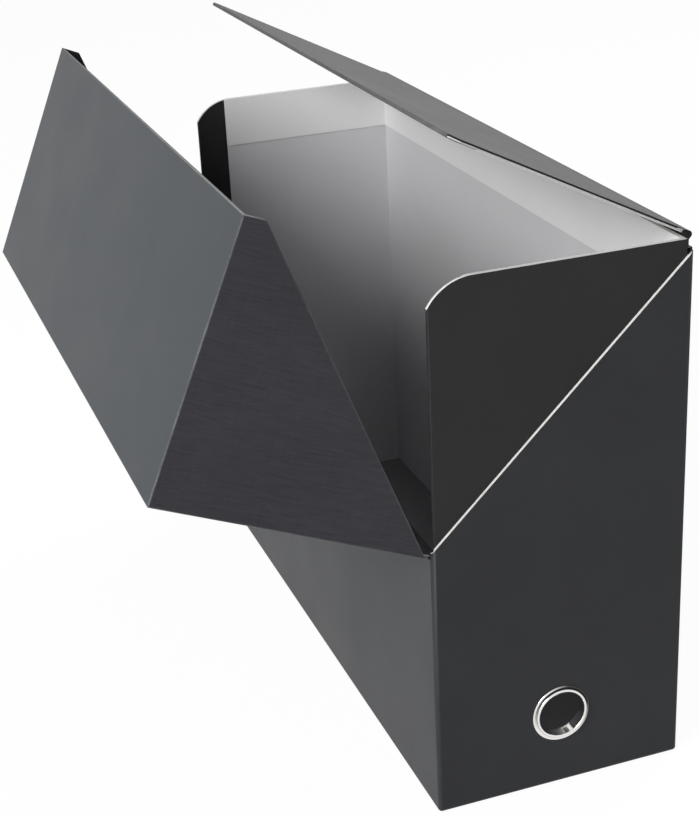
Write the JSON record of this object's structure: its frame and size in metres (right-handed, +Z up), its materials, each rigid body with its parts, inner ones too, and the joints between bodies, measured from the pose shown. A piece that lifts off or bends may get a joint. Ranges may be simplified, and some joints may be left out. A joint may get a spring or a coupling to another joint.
{
  "type": "portable file box",
  "caption": "Upright covered-board file box: a glued case and taller inner sleeve, a slant-cut lid hinged across the front, a dust flap and a metal finger ring in the spine.",
  "frame": {"origin": "centre of the base's underside, on the surface that the box stands on", "axes": "+Z up; Y along the box's depth, with the spine and its finger ring at -Y; X across the spine, with the front face that the lid opens over at -X"},
  "size_m": [0.2368, 0.3515, 0.3058],
  "materials": {
    "cover_paper": "dark grey paper embossed with a fine linen weave",
    "case_board": "white-faced board with bare cut edges",
    "sleeve_paper": "smooth dark grey paper",
    "turn_in_paper": "near-black matt paper",
    "sleeve_board": "white-faced board with bare cut edges",
    "lining_paper": "smooth white paper",
    "base_paper": "mid grey matt paper",
    "rim_card": "smooth white card",
    "lid_board": "thin grey board",
    "lid_paper": "near-black matt paper",
    "flap_cloth": "dark grey bookbinding cloth with a fine weave",
    "flap_board": "thin grey-white board with bare side edges",
    "flap_paper": "smooth white paper",
    "ring_metal": "bright plated",
    "washer_metal": "plain pressed steel"
  },
  "bodies": {
    "case": {"base_cover": "cover_paper", "spine_cover": "cover_paper", "far_end_cover": "cover_paper", "front_cover": "cover_paper", "back_cover": "cover_paper", "hinge_crease": "cover_paper", "base_board": "case_board", "front_board": "case_board", "back_board": "case_board", "spine_board": "case_board", "far_end_board": "case_board", "sleeve_cover": "sleeve_paper", "front_edge_wrap": "turn_in_paper", "near_edge_wrap": "turn_in_paper", "far_edge_wrap": "turn_in_paper", "sleeve_base_board": "sleeve_board", "sleeve_front_board": "sleeve_board", "sleeve_back_board": "sleeve_board", "sleeve_near_board": "sleeve_board", "sleeve_far_board": "sleeve_board", "front_lining": "lining_paper", "back_lining": "lining_paper", "near_lining": "lining_paper", "far_lining": "lining_paper", "base_lining": "base_paper", "rim_strip": "rim_card", "finger_ring": "ring_metal", "ring_washer": "washer_metal"},
    "lid": {"lid_cover": "cover_paper", "near_gusset_cover": "cover_paper", "far_gusset_cover": "cover_paper", "lid_front_board": "lid_board", "lid_top_board": "lid_board", "near_gusset_board": "lid_board", "far_gusset_board": "lid_board", "lid_lining": "lid_paper", "near_gusset_lining": "lid_paper", "far_gusset_lining": "lid_paper"},
    "flap": {"flap_hinge_roll": "flap_cloth", "flap_cloth": "flap_cloth", "flap_board": "flap_board", "flap_lining": "flap_paper"}
  },
  "joints": [
    {"name": "lid_hinge", "type": "hinge", "parent": "case", "child": "lid", "pos_m": [-0.0602, 0, 0.1286], "axis": [0, -1, 0], "range_deg": [-66.9, 108]},
    {"name": "flap_hinge", "type": "hinge", "parent": "case", "child": "flap", "pos_m": [0.058, 0, 0.2518], "axis": [0, 1, 0], "range_deg": [-32.8, 53]}
  ],
  "couplings": [
    {"joint": "flap_hinge", "follows": "lid_hinge", "ratio": 0.49}
  ]
}
